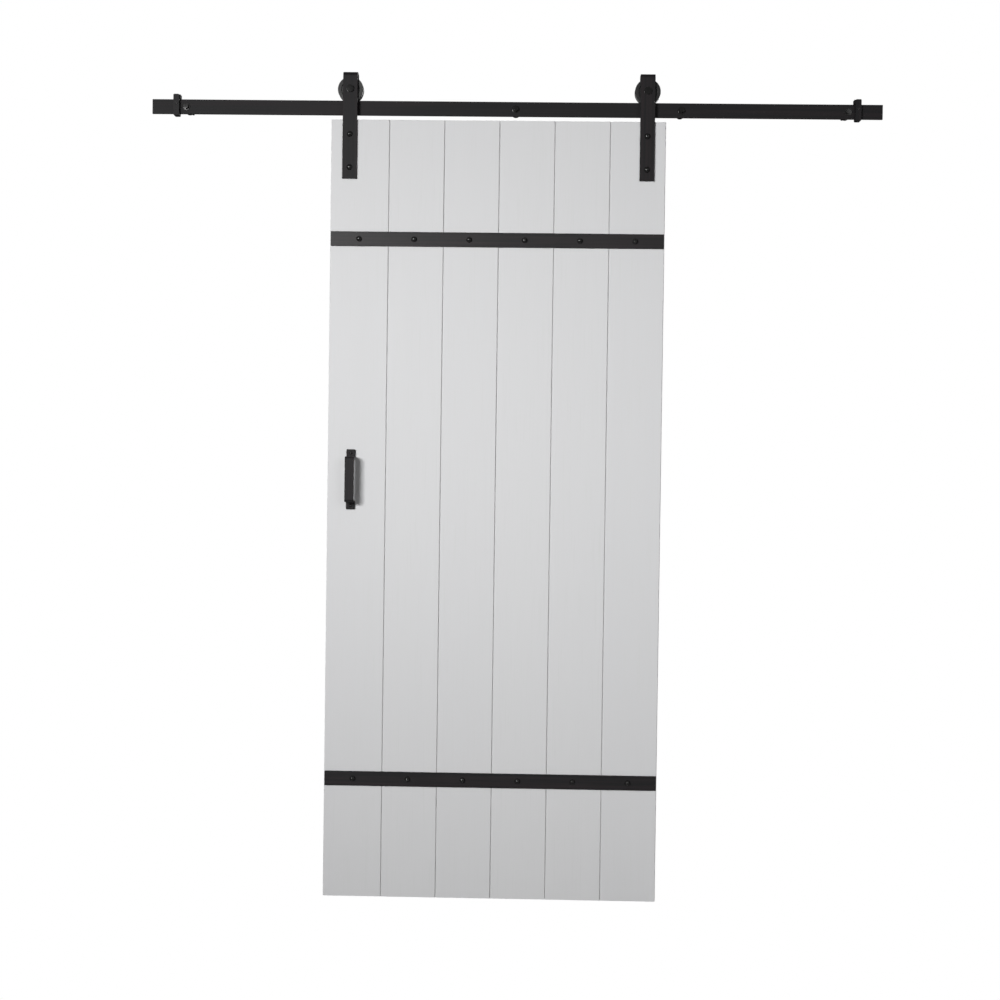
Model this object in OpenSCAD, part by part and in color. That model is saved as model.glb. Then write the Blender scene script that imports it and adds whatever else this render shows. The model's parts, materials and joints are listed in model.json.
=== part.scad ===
// Sliding plank door on a flat wall rail.
//
// Millimetres, +Z up. The origin is on the axis of the rail's middle lag screw, in the
// plane of the wall. The wall side is +Y, the room side is -Y and X runs along the rail.
// Left and right are as seen from the room.

/* [Door] */
// Width of the door over its boards
door_w = 914.4; // [720:1:1120]
// Height of the door
door_h = 2134; // [1750:1:2560]
// Thickness of the boards
door_t = 35; // [29:0.5:44]
// How much wider the first board is than the others
first_board_extra = 9; // [0:0.1:20]
// Chamfer on the boards' long edges, which makes the V lines
board_bevel = 1.6; // [0.8:0.1:3]
// Open gap between two boards
board_gap = 0.4; // [0.2:0.1:1]
// Thickness of the boards' tongues
tongue_t = 8; // [5:0.5:10]
// Length of the boards' tongues
tongue_l = 8; // [5:0.5:12]
// Middle of the door, right of the rail's middle
door_x = -46.4; // [-300:0.1:300]
// Gap from the rail down to the door
door_gap = 14; // [12:0.5:25]

/* [Straps] */
// Height of the flat straps across the door
strap_h = 40; // [30:1:50]
// Thickness of the straps
strap_t = 4; // [3:0.5:6]
// Middle of a strap, from the door's nearer end
strap_inset = 326; // [240:1:420]
// How far a strap's ends stop short of the door's edges
strap_setback = 1.5; // [0:0.1:15]
// First screw of a strap, from the door's edge
strap_screw_margin = 79.5; // [40:0.1:100]
// Screws in a strap
strap_screw_count = 6; // [3:1:8]
// Shank of a strap screw
strap_screw_d = 6; // [4:0.5:8]
// Domed head of a strap screw
strap_head_d = 16; // [12:0.5:19.5]
// Height of a strap screw's dome
strap_head_h = 7; // [5:0.5:8.5]
// How deep a strap screw goes into the board
strap_screw_bite = 24; // [18:1:26]

/* [Rail] */
// Length of the rail
rail_l = 2000; // [1650:1:2450]
// Height of the rail
rail_h = 40; // [33:0.5:50]
// Thickness of the rail
rail_t = 6; // [5:0.5:8]
// Lag screws along the rail
lag_count = 5; // [3:2:7]
// End lag screw, from the rail's end
lag_margin = 94.2; // [50:0.1:110]
// Stand-off of the rail from the wall
spacer_l = 40; // [34:0.5:48]
// Smooth shank of a lag screw
lag_shank_d = 8; // [6:0.5:9.5]
// Threaded part of a lag screw
lag_thread_d = 7.4; // [5:0.1:7.5]
// Threaded part that is in the wall
lag_bite = 40; // [32:1:60]
// Lag screw's hexagon head, across its flats
lag_head_af = 13; // [10:0.5:14]
// Height of a lag screw's head
lag_head_h = 5.5; // [4:0.5:6.5]
// Thickness of the washers
washer_t = 2; // [1.5:0.1:2.5]

/* [Hangers] */
// Width of a hanger strap
hanger_w = 40; // [33:0.5:50]
// Thickness of a hanger strap
hanger_t = 5; // [4:0.5:6]
// Middle of a hanger, from the door's edge
hanger_inset = 50.8; // [30:0.1:80]
// Inside radius of the hanger's bends over the wheel
hanger_bend_r = 8; // [4:0.5:9]
// How far the hanger's back leg reaches below the axle
back_leg_drop = 20; // [14:0.5:24]
// Upper hanger bolt, below the door's top
hanger_bolt_drop = 40.4; // [30:1:60]
// Distance between a hanger's two bolts
hanger_bolt_pitch = 90.6; // [70:1:115]
// Hanger strap below its lower bolt
hanger_tail = 31; // [20:1:40]
// Shank of a hanger bolt
hanger_bolt_d = 8; // [6:0.5:10]
// Domed head of a hanger bolt
hanger_head_d = 16; // [14:0.5:20]
// Height of a hanger bolt's dome
hanger_head_h = 6.5; // [4:0.5:8]

/* [Wheels] */
// Wheel over its flanges
wheel_d = 70; // [58:1:84]
// Width of a wheel
wheel_w = 22; // [19:0.5:27]
// Depth of the wheel's groove
groove_depth = 6; // [4:0.5:7]
// Axle bolt
axle_d = 10; // [8:0.5:12]
// Flat round head of the axle bolt
axle_head_d = 20; // [16:0.5:24]
// Height of the axle bolt's head
axle_head_h = 4; // [3:0.5:5]
// Ball bearing across its outer ring
bearing_d = 26; // [24:0.5:31]
// Width of the ball bearing
bearing_w = 8; // [6:0.5:10]
// Balls in a bearing
ball_count = 8; // [6:1:9]

/* [Stops] */
// Gap along the rail from the end spacer to the end stop
stop_spacer_gap = 5.7; // [2:0.1:20]
// Width of an end stop along the rail
stop_w = 16; // [13:0.5:20]
// Height of an end stop
stop_h = 58; // [54:0.5:70]
// Middle of an end stop, above the rail's middle
stop_rise = 4; // [0:0.5:6]
// Thickness of the rubber bumper
bumper_t = 3; // [2:0.5:5]
// Set screw above the rail's middle
stop_screw_z = 7; // [-10:0.5:10]
// Set screw of an end stop
stop_screw_d = 6; // [4:0.5:8]

/* [Handle] */
// Length of the handle over its plates
handle_l = 165; // [138:1:198]
// Width of the handle's strap
handle_w = 25; // [20:0.5:30]
// Thickness of the handle's strap
handle_t = 4; // [3:0.5:5]
// How far the grip stands out from the door
handle_reach = 40; // [33:0.5:48]
// Length of each screw plate
handle_plate = 24; // [20:0.5:28]
// Inside radius of the handle's bends
handle_bend_r = 4; // [2:0.5:6]
// Middle of the handle above the door's bottom
handle_height = 1149; // [900:1:1400]
// Middle of the handle from the door's edge
handle_inset = 64.3; // [40:0.1:120]
// Shank of a handle screw
handle_screw_d = 4.5; // [3.5:0.5:5]
// Low domed head of a handle screw
handle_head_d = 9; // [7:0.5:11]
// Height of a handle screw's head
handle_head_h = 2.4; // [1.5:0.1:3.5]
// How deep a handle screw goes into the board
handle_screw_bite = 22; // [16:1:26]

/* [Fits] */
// Radial gap round a fixed screw or bolt in its hole
hole_gap = 0.2; // [0.1:0.05:0.4]
// Radial gap of the axle bolt in the bearing and bushes
axle_gap = 0.03; // [0.01:0.01:0.08]
// Radial gap of a bearing's balls in their races
ball_gap = 0.1; // [0.05:0.01:0.2]
// Gap under a wheel, so that it turns free of the rail
tread_gap = 0.1; // [0.05:0.01:0.3]
// Gap from the rail to each flange of a wheel
flange_gap = 0.6; // [0.3:0.1:1]
// Gap from a wheel to each leg of its hanger, and from an end stop to the hanger
side_gap = 2; // [1.5:0.1:3]
// Gap from the top of a wheel to the hanger
top_gap = 8; // [3:0.5:10]
// Gap from the rail's spacers to the flanges that pass over them
pass_gap = 1; // [0.6:0.1:2]
// Gap round a tongue in its groove
tongue_gap = 0.3; // [0.1:0.1:0.6]
// Gap round the rail in an end stop
stop_gap = 0.15; // [0.05:0.05:0.4]

/* [Hidden] */

$fn = 64;
cut = 1;    // how far a cutting shape runs past the face it cuts

LEFT = -1;
RIGHT = 1;

// Colours
paint_white = [0.83, 0.84, 0.84];
coat_black = [0.14, 0.14, 0.145];
bolt_black = [0.18, 0.18, 0.19];
nylon_black = [0.10, 0.10, 0.11];
rubber_black = [0.07, 0.07, 0.07];
zinc_grey = [0.62, 0.63, 0.65];
steel_grey = [0.72, 0.73, 0.75];

// Rail and what it stands on
rail_back = -spacer_l;
rail_front = rail_back - rail_t;
rail_y = (rail_back + rail_front) / 2;
rail_top = rail_h / 2;
spacer_d = rail_h - 2 * (groove_depth + pass_gap);
lag_washer_d = spacer_d - 6;
lag_hole_d = lag_shank_d + 1;
lag_pitch = (rail_l - 2 * lag_margin) / (lag_count - 1);
lag_end_x = rail_l / 2 - lag_margin;
lag_tip = 8;

// Wheels, axles and bearings
root_r = wheel_d / 2 - groove_depth;
axle_z = rail_top + tread_gap + root_r;
wheel_x = door_w / 2 - hanger_inset;
groove_w = rail_t + 2 * flange_gap;
groove_flare = 1.5;
rim_r = 1.5;
axle_hole_r = axle_d / 2 + axle_gap;
bush_wall = 2;
bearing_lip = 1.6;
race_floor = 1.7;
race_r = (axle_hole_r + bearing_d / 2) / 2;
ball_r = (bearing_d / 2 - axle_hole_r) / 2 - race_floor - ball_gap;
race_land = 0.6 * ball_r;
web_in_r = bearing_d / 2 + 3.5;
web_out_r = root_r - 4;
web_depth = 2.5;
hex_af_per_d = 1.65;
nut_h_per_d = 0.8;
thread_end = 2;

// Door
hanger_gap = wheel_w + 2 * side_gap;
door_front = rail_y - hanger_gap / 2;
door_back = door_front + door_t;
door_top = -rail_h / 2 - door_gap;
door_bottom = door_top - door_h;
door_left = door_x - door_w / 2;
board_count = 6;
board_w = (door_w - first_board_extra) / board_count;

// Hangers
hanger_front = door_front - hanger_t;
hanger_back = door_front + hanger_gap + hanger_t;
hanger_top = axle_z + wheel_d / 2 + top_gap + hanger_t;
hanger_bolt_z = [door_top - hanger_bolt_drop, door_top - hanger_bolt_drop - hanger_bolt_pitch];
hanger_bottom = hanger_bolt_z[1] - hanger_tail;
hanger_washer_d = 24;

// Straps
strap_z = [door_top - strap_inset, door_bottom + strap_inset];
strap_screw_pitch = (door_w - 2 * strap_screw_margin) / (strap_screw_count - 1);

// Handle
handle_x = door_left + handle_inset;
handle_z = door_bottom + handle_height;
handle_screw_z = [handle_z - (handle_l - handle_plate + handle_t) / 2,
                  handle_z + (handle_l - handle_plate + handle_t) / 2];

// End stops
stop_x = lag_end_x + spacer_d / 2 + stop_spacer_gap + stop_w / 2;
stop_depth = wheel_w;
stop_corner = 3;
bumper_z = rail_top + 1;
bumper_h = stop_rise + stop_h / 2 - 1 - bumper_z;
bumper_peg_d = 4;
bumper_peg_l = 6;
stop_screw_proud = 1;

// Left edge of board i, counted from 0
function board_left(i) = i == 0 ? door_left : door_left + first_board_extra + i * board_w;

// A round bar along Y from y0 to y1
module bar_y(x, y0, y1, z, r) {
    translate([x, y0, z]) rotate([-90, 0, 0]) cylinder(h = y1 - y0, r = r);
}

// A hexagon bar along Y from y0 to y1
module hex_y(x, y0, y1, z, across_flats) {
    translate([x, y0, z]) rotate([-90, 0, 0])
        cylinder(h = y1 - y0, r = across_flats / sqrt(3), $fn = 6);
}

// A round ring along Y from y0 to y1
module ring_y(x, y0, y1, z, outer_r, inner_r) {
    difference() {
        bar_y(x, y0, y1, z, outer_r);
        bar_y(x, y0 - cut, y1 + cut, z, inner_r);
    }
}

// A domed head that stands out of the face y, towards the room
module dome_y(x, y, z, d, h) {
    ball = (d * d / 4 + h * h) / (2 * h);
    intersection() {
        translate([x, y - h + ball, z]) rotate([90, 0, 0]) sphere(r = ball);
        bar_y(x, y - h - cut, y, z, d);
    }
}

// The outline across the rail, drawn in Y and Z, made into a strap of the given width
module strap_yz(x, width) {
    translate([x - width / 2, 0, 0]) rotate([90, 0, 90]) linear_extrude(height = width) children();
}

// Places children at a hanger
module at_hanger(side) {
    translate([door_x + side * wheel_x, 0, 0]) children();
}

// Places children at every lag screw
module at_lags() {
    for (i = [0 : lag_count - 1]) translate([-lag_end_x + i * lag_pitch, 0, 0]) children();
}

// Everything that is drilled into the door
module door_drillings() {
    for (z = strap_z, i = [0 : strap_screw_count - 1])
        bar_y(door_left + strap_screw_margin + i * strap_screw_pitch, door_front - cut,
              door_front + strap_screw_bite + 1, z, strap_screw_d / 2 + hole_gap);
    for (side = [LEFT, RIGHT], z = hanger_bolt_z)
        at_hanger(side) bar_y(0, door_front - cut, door_back + cut, z, hanger_bolt_d / 2 + hole_gap);
    for (z = handle_screw_z)
        bar_y(handle_x, door_front - cut, door_front + handle_screw_bite + 1, z,
              handle_screw_d / 2 + hole_gap);
}

// One board of the door, with a tongue on its right and a groove on its left
module plank(i) {
    left = board_left(i) + (i == 0 ? 0 : board_gap / 2);
    right = board_left(i + 1) - (i == board_count - 1 ? 0 : board_gap / 2);
    mid = (door_front + door_back) / 2;
    color(paint_white) difference() {
        union() {
            translate([0, 0, door_bottom]) linear_extrude(height = door_h) polygon([
                [left + board_bevel, door_front], [right - board_bevel, door_front],
                [right, door_front + board_bevel], [right, door_back - board_bevel],
                [right - board_bevel, door_back], [left + board_bevel, door_back],
                [left, door_back - board_bevel], [left, door_front + board_bevel]]);
            if (i < board_count - 1)
                translate([right - cut, mid - tongue_t / 2, door_bottom])
                    cube([tongue_l + cut, tongue_t, door_h]);
        }
        if (i > 0)
            translate([left - cut, mid - tongue_t / 2 - tongue_gap, door_bottom - cut])
                cube([tongue_l + 2 * tongue_gap + cut, tongue_t + 2 * tongue_gap, door_h + 2 * cut]);
        door_drillings();
    }
}
module plank_1() { plank(0); }
module plank_2() { plank(1); }
module plank_3() { plank(2); }
module plank_4() { plank(3); }
module plank_5() { plank(4); }
module plank_6() { plank(5); }

// Flat strap across the door
module strap(z) {
    color(coat_black) difference() {
        translate([door_left + strap_setback, door_front - strap_t, z - strap_h / 2])
            cube([door_w - 2 * strap_setback, strap_t, strap_h]);
        for (i = [0 : strap_screw_count - 1])
            bar_y(door_left + strap_screw_margin + i * strap_screw_pitch, door_front - strap_t - cut,
                  door_front + cut, z, strap_screw_d / 2 + hole_gap);
    }
}
module upper_strap() { strap(strap_z[0]); }
module lower_strap() { strap(strap_z[1]); }

// Domed screws of one strap
module strap_screws(z) {
    color(bolt_black) for (i = [0 : strap_screw_count - 1]) {
        x = door_left + strap_screw_margin + i * strap_screw_pitch;
        union() {
            dome_y(x, door_front - strap_t, z, strap_head_d, strap_head_h);
            bar_y(x, door_front - strap_t - cut, door_front + strap_screw_bite, z, strap_screw_d / 2);
        }
    }
}
module upper_strap_screws() { strap_screws(strap_z[0]); }
module lower_strap_screws() { strap_screws(strap_z[1]); }

// Side outline of a hanger: up the door's face, over the wheel and down behind it
module hanger_outline() {
    out_r = hanger_bend_r + hanger_t;
    inner_top = hanger_top - hanger_t;
    bend_z = hanger_top - out_r;
    leg_end = axle_z - back_leg_drop;
    difference() {
        union() {
            translate([hanger_front, hanger_bottom])
                square([hanger_back - hanger_front, bend_z - hanger_bottom]);
            translate([hanger_front + out_r, bend_z])
                square([hanger_back - hanger_front - 2 * out_r, out_r]);
            translate([hanger_front + out_r, bend_z]) circle(r = out_r);
            translate([hanger_back - out_r, bend_z]) circle(r = out_r);
        }
        translate([door_front, hanger_bottom - cut])
            square([hanger_gap, bend_z - hanger_bottom + cut]);
        translate([door_front + hanger_bend_r, bend_z - cut])
            square([hanger_gap - 2 * hanger_bend_r, inner_top - bend_z + cut]);
        translate([door_front + hanger_bend_r, bend_z]) circle(r = hanger_bend_r);
        translate([hanger_back - hanger_t - hanger_bend_r, bend_z]) circle(r = hanger_bend_r);
        translate([door_front + cut, hanger_bottom - cut])
            square([hanger_gap + hanger_t, leg_end - hanger_bottom + cut]);
    }
}

// Bent strap that carries the door on one wheel
module hanger(side) {
    color(coat_black) at_hanger(side) difference() {
        strap_yz(0, hanger_w) hanger_outline();
        for (z = hanger_bolt_z)
            bar_y(0, hanger_front - cut, door_front + cut, z, hanger_bolt_d / 2 + hole_gap);
        bar_y(0, hanger_front - cut, hanger_back + cut, axle_z, axle_hole_r);
    }
}
module left_hanger() { hanger(LEFT); }
module right_hanger() { hanger(RIGHT); }

// Domed bolts through a hanger and the door
module hanger_bolts(side) {
    end = door_back + washer_t + nut_h_per_d * hanger_bolt_d + thread_end;
    color(bolt_black) at_hanger(side) for (z = hanger_bolt_z) union() {
        dome_y(0, hanger_front, z, hanger_head_d, hanger_head_h);
        bar_y(0, hanger_front - cut, end, z, hanger_bolt_d / 2);
    }
}
module left_hanger_bolts() { hanger_bolts(LEFT); }
module right_hanger_bolts() { hanger_bolts(RIGHT); }

// Washers of the hanger bolts, on the door's back
module hanger_washers(side) {
    color(zinc_grey) at_hanger(side) for (z = hanger_bolt_z)
        ring_y(0, door_back, door_back + washer_t, z, hanger_washer_d / 2, hanger_bolt_d / 2 + hole_gap);
}
module left_hanger_washers() { hanger_washers(LEFT); }
module right_hanger_washers() { hanger_washers(RIGHT); }

// Hexagon nut from face y, on a bolt along Y
module nut_y(y, z, bolt_d) {
    difference() {
        hex_y(0, y, y + nut_h_per_d * bolt_d, z, hex_af_per_d * bolt_d);
        bar_y(0, y - cut, y + nut_h_per_d * bolt_d + cut, z, bolt_d / 2 + axle_gap);
    }
}

// Nuts of the hanger bolts
module hanger_nuts(side) {
    color(zinc_grey) at_hanger(side) for (z = hanger_bolt_z)
        nut_y(door_back + washer_t, z, hanger_bolt_d);
}
module left_hanger_nuts() { hanger_nuts(LEFT); }
module right_hanger_nuts() { hanger_nuts(RIGHT); }

// Axle bolt of a wheel, through both legs of its hanger
module axle_bolt(side) {
    end = hanger_back + nut_h_per_d * axle_d + thread_end;
    color(bolt_black) at_hanger(side) union() {
        bar_y(0, hanger_front - axle_head_h, hanger_front, axle_z, axle_head_d / 2);
        bar_y(0, hanger_front - cut, end, axle_z, axle_d / 2);
    }
}
module left_axle_bolt() { axle_bolt(LEFT); }
module right_axle_bolt() { axle_bolt(RIGHT); }

// Nut of the axle bolt, behind the hanger's back leg
module axle_nut(side) {
    color(zinc_grey) at_hanger(side) nut_y(hanger_back, axle_z, axle_d);
}
module left_axle_nut() { axle_nut(LEFT); }
module right_axle_nut() { axle_nut(RIGHT); }

// Bushes that hold the bearing in the middle of its hanger
module axle_bushes(side) {
    bush_r = axle_hole_r + bush_wall;
    color(steel_grey) at_hanger(side) {
        ring_y(0, door_front, rail_y - bearing_w / 2, axle_z, bush_r, axle_hole_r);
        ring_y(0, rail_y + bearing_w / 2, door_front + hanger_gap, axle_z, bush_r, axle_hole_r);
    }
}
module left_axle_bushes() { axle_bushes(LEFT); }
module right_axle_bushes() { axle_bushes(RIGHT); }

// Ring of a ball bearing, with its ball race
module bearing_ring(outer_r, inner_r) {
    translate([0, rail_y, axle_z]) rotate([-90, 0, 0]) difference() {
        translate([0, 0, -bearing_w / 2]) cylinder(h = bearing_w, r = outer_r);
        translate([0, 0, -bearing_w / 2 - cut]) cylinder(h = bearing_w + 2 * cut, r = inner_r);
        rotate_extrude() translate([race_r, 0]) circle(r = ball_r + ball_gap);
    }
}

// Inner ring of a bearing, clamped on the axle between the bushes
module bearing_inner_ring(side) {
    color(steel_grey) at_hanger(side) bearing_ring(race_r - race_land, axle_hole_r);
}
module left_bearing_inner_ring() { bearing_inner_ring(LEFT); }
module right_bearing_inner_ring() { bearing_inner_ring(RIGHT); }

// Outer ring of a bearing, pressed into the wheel
module bearing_outer_ring(side) {
    color(steel_grey) at_hanger(side) bearing_ring(bearing_d / 2, race_r + race_land);
}
module left_bearing_outer_ring() { bearing_outer_ring(LEFT); }
module right_bearing_outer_ring() { bearing_outer_ring(RIGHT); }

// Balls of a bearing
module bearing_balls(side) {
    color(steel_grey) at_hanger(side) translate([0, rail_y, axle_z]) rotate([-90, 0, 0])
        for (i = [0 : ball_count - 1]) rotate([0, 0, i * 360 / ball_count])
            translate([race_r, 0, 0]) sphere(r = ball_r);
}
module left_bearing_balls() { bearing_balls(LEFT); }
module right_bearing_balls() { bearing_balls(RIGHT); }

// Half section of a wheel: radius along x, width along y
module wheel_section() {
    half = wheel_w / 2;
    rim = wheel_d / 2;
    seat = bearing_w / 2;
    difference() {
        union() {
            translate([bearing_d / 2 - bearing_lip, -half])
                square([rim - rim_r - bearing_d / 2 + bearing_lip, wheel_w]);
            translate([rim - rim_r - cut, -half + rim_r]) square([rim_r + cut, wheel_w - 2 * rim_r]);
            for (y = [-half + rim_r, half - rim_r]) translate([rim - rim_r, y]) circle(r = rim_r);
        }
        polygon([[root_r, -groove_w / 2], [root_r, groove_w / 2],
                 [rim + cut, groove_w / 2 + groove_flare * (groove_depth + cut) / groove_depth],
                 [rim + cut, -groove_w / 2 - groove_flare * (groove_depth + cut) / groove_depth]]);
        translate([0, -half - cut]) square([bearing_d / 2, half + seat + cut]);
        for (y = [-half - cut, half - web_depth])
            translate([web_in_r, y]) square([web_out_r - web_in_r, web_depth + cut]);
    }
}

// Grooved nylon wheel, open at the front for its bearing
module wheel(side) {
    color(nylon_black) at_hanger(side) translate([0, rail_y, axle_z]) rotate([-90, 0, 0])
        rotate_extrude() wheel_section();
}
module left_wheel() { wheel(LEFT); }
module right_wheel() { wheel(RIGHT); }

// Side outline of the handle: plate, leg, grip, leg, plate
module handle_outline() {
    out_r = handle_bend_r + handle_t;
    plate_y = door_front - handle_t;
    grip_y = door_front - handle_reach;
    leg_z = handle_l / 2 - handle_plate + handle_t;
    translate([0, handle_z]) difference() {
        union() {
            translate([plate_y, -handle_l / 2]) square([handle_t, handle_l]);
            translate([grip_y + out_r, -leg_z]) square([handle_reach - out_r, 2 * leg_z]);
            translate([grip_y, -leg_z + out_r]) square([out_r, 2 * (leg_z - out_r)]);
            for (z = [-leg_z + out_r, leg_z - out_r]) translate([grip_y + out_r, z]) circle(r = out_r);
        }
        translate([grip_y + out_r, -leg_z + handle_t])
            square([handle_reach - out_r + cut, 2 * (leg_z - handle_t)]);
        translate([grip_y + handle_t, -leg_z + out_r])
            square([handle_reach - handle_t, 2 * (leg_z - out_r)]);
        for (z = [-leg_z + out_r, leg_z - out_r])
            translate([grip_y + out_r, z]) circle(r = handle_bend_r);
    }
}

// Pull handle, bent from one strap
module handle() {
    color(coat_black) difference() {
        strap_yz(handle_x, handle_w) handle_outline();
        for (z = handle_screw_z)
            bar_y(handle_x, door_front - handle_t - cut, door_front + cut, z,
                  handle_screw_d / 2 + hole_gap);
    }
}

// Screws of the handle
module handle_screws() {
    color(bolt_black) for (z = handle_screw_z) union() {
        dome_y(handle_x, door_front - handle_t, z, handle_head_d, handle_head_h);
        bar_y(handle_x, door_front - handle_t - cut, door_front + handle_screw_bite, z,
              handle_screw_d / 2);
    }
}

// Flat rail
module rail() {
    color(coat_black) difference() {
        translate([-rail_l / 2, rail_front, -rail_h / 2]) cube([rail_l, rail_t, rail_h]);
        at_lags() bar_y(0, rail_front - cut, rail_back + cut, 0, lag_hole_d / 2);
        for (side = [LEFT, RIGHT])
            bar_y(side * stop_x, rail_front - cut, rail_front + rail_t / 2, stop_screw_z,
                  stop_screw_d / 2 + hole_gap);
    }
}

// Round spacers between the rail and the wall
module rail_spacers() {
    color(coat_black) at_lags() ring_y(0, rail_back, 0, 0, spacer_d / 2, lag_hole_d / 2);
}

// Lag screws that hold the rail
module rail_lags() {
    head = rail_front - washer_t;
    color(bolt_black) at_lags() union() {
        hex_y(0, head - lag_head_h, head, 0, lag_head_af);
        bar_y(0, head - cut, 0, 0, lag_shank_d / 2);
        bar_y(0, -cut, lag_bite, 0, lag_thread_d / 2);
        translate([0, lag_bite, 0]) rotate([-90, 0, 0])
            cylinder(h = lag_tip, r1 = lag_thread_d / 2, r2 = 0.4);
    }
}

// Washers of the lag screws
module rail_washers() {
    color(bolt_black) at_lags()
        ring_y(0, rail_front - washer_t, rail_front, 0, lag_washer_d / 2, lag_shank_d / 2 + hole_gap);
}

// Front outline of an end stop, with rounded corners, drawn in X and Z
module stop_outline() {
    x = stop_w / 2 - stop_corner;
    z = stop_h / 2 - stop_corner;
    union() {
        square([stop_w, 2 * z], center = true);
        square([2 * x, stop_h], center = true);
        for (sx = [-x, x], sz = [-z, z]) translate([sx, sz]) circle(r = stop_corner);
    }
}

// End stop, slid onto the rail
module stop(side) {
    color(coat_black) translate([side * stop_x, 0, 0]) difference() {
        translate([0, rail_y + stop_depth / 2, stop_rise]) rotate([90, 0, 0])
            linear_extrude(height = stop_depth) stop_outline();
        translate([-stop_w / 2 - cut, rail_front - stop_gap, -rail_top - stop_gap])
            cube([stop_w + 2 * cut, rail_t + 2 * stop_gap, rail_h + 2 * stop_gap]);
        bar_y(0, rail_y - stop_depth / 2 - cut, rail_y, stop_screw_z, stop_screw_d / 2 + hole_gap);
        translate([-side * stop_w / 2, rail_y, bumper_z + bumper_h / 2]) rotate([0, side * 90, 0])
            translate([0, 0, -cut]) cylinder(h = bumper_peg_l + 0.5 + cut, r = bumper_peg_d / 2 + hole_gap);
    }
}
module left_stop() { stop(LEFT); }
module right_stop() { stop(RIGHT); }

// Rubber bumper on the inboard side of an end stop, held by a peg
module stop_bumper(side) {
    color(rubber_black) translate([side * (stop_x - stop_w / 2), rail_y, bumper_z + bumper_h / 2])
        rotate([0, side * 90, 0]) union() {
            translate([-bumper_h / 2, -stop_depth / 2 + side_gap, -bumper_t])
                cube([bumper_h, stop_depth - 2 * side_gap, bumper_t]);
            translate([0, 0, -cut]) cylinder(h = bumper_peg_l + cut, r = bumper_peg_d / 2);
        }
}
module left_stop_bumper() { stop_bumper(LEFT); }
module right_stop_bumper() { stop_bumper(RIGHT); }

// Set screw of an end stop, with its point in the rail and a hexagon socket
module stop_screw(side) {
    head = rail_y - stop_depth / 2 - stop_screw_proud;
    socket_af = stop_screw_d / 2;
    color(bolt_black) translate([side * stop_x, 0, 0]) difference() {
        bar_y(0, head, rail_front + rail_t / 2, stop_screw_z, stop_screw_d / 2);
        hex_y(0, head - cut, head + socket_af, stop_screw_z, socket_af);
    }
}
module left_stop_screw() { stop_screw(LEFT); }
module right_stop_screw() { stop_screw(RIGHT); }

plank_1();
plank_2();
plank_3();
plank_4();
plank_5();
plank_6();
upper_strap();
lower_strap();
upper_strap_screws();
lower_strap_screws();
left_hanger();
right_hanger();
left_hanger_bolts();
right_hanger_bolts();
left_hanger_washers();
right_hanger_washers();
left_hanger_nuts();
right_hanger_nuts();
left_axle_bolt();
right_axle_bolt();
left_axle_nut();
right_axle_nut();
left_axle_bushes();
right_axle_bushes();
left_bearing_inner_ring();
right_bearing_inner_ring();
left_bearing_outer_ring();
right_bearing_outer_ring();
left_bearing_balls();
right_bearing_balls();
left_wheel();
right_wheel();
handle();
handle_screws();
rail();
rail_spacers();
rail_lags();
rail_washers();
left_stop();
right_stop();
left_stop_bumper();
right_stop_bumper();
left_stop_screw();
right_stop_screw();
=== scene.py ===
"""Looks of a sliding plank door that hangs on a flat wall rail.

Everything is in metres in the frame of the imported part: X runs along the rail, +Y goes
into the wall, -Y is the room side and +Z is up. Left and right are as seen from the room.
"""
import json
import math

import bmesh
import bpy
from mathutils import Matrix, Vector


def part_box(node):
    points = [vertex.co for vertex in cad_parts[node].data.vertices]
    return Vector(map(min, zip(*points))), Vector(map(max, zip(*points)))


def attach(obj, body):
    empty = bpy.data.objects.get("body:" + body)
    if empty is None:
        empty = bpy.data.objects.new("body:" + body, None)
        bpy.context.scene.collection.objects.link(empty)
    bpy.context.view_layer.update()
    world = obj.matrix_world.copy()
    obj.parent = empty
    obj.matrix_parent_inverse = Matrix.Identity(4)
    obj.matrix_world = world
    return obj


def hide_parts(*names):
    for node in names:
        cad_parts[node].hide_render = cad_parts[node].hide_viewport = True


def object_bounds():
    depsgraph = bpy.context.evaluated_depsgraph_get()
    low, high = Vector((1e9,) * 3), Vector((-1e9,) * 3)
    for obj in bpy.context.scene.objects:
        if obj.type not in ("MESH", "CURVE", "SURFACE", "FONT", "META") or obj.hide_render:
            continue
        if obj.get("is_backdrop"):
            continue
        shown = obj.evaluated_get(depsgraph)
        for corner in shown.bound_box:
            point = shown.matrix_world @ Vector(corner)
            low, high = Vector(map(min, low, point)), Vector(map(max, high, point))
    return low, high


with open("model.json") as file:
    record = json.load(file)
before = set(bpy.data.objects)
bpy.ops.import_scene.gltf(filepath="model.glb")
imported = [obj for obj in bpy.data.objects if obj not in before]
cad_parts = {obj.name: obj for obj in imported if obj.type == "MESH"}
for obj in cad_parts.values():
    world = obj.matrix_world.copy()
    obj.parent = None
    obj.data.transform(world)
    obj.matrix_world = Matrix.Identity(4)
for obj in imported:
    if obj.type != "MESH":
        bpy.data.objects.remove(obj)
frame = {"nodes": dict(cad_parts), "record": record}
cad_low, cad_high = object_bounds()

MM = 0.001
X_AXIS = Vector((1, 0, 0))
Y_AXIS = Vector((0, 1, 0))
Z_AXIS = Vector((0, 0, 1))
SIDES = ("left", "right")
BOARDS = 6

record = frame["record"]
BODY_OF = {node: body for body, nodes in record["behaviour"]["bodies"].items() for node in nodes}


# ---------------------------------------------------------------------------
# Shader maths


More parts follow.
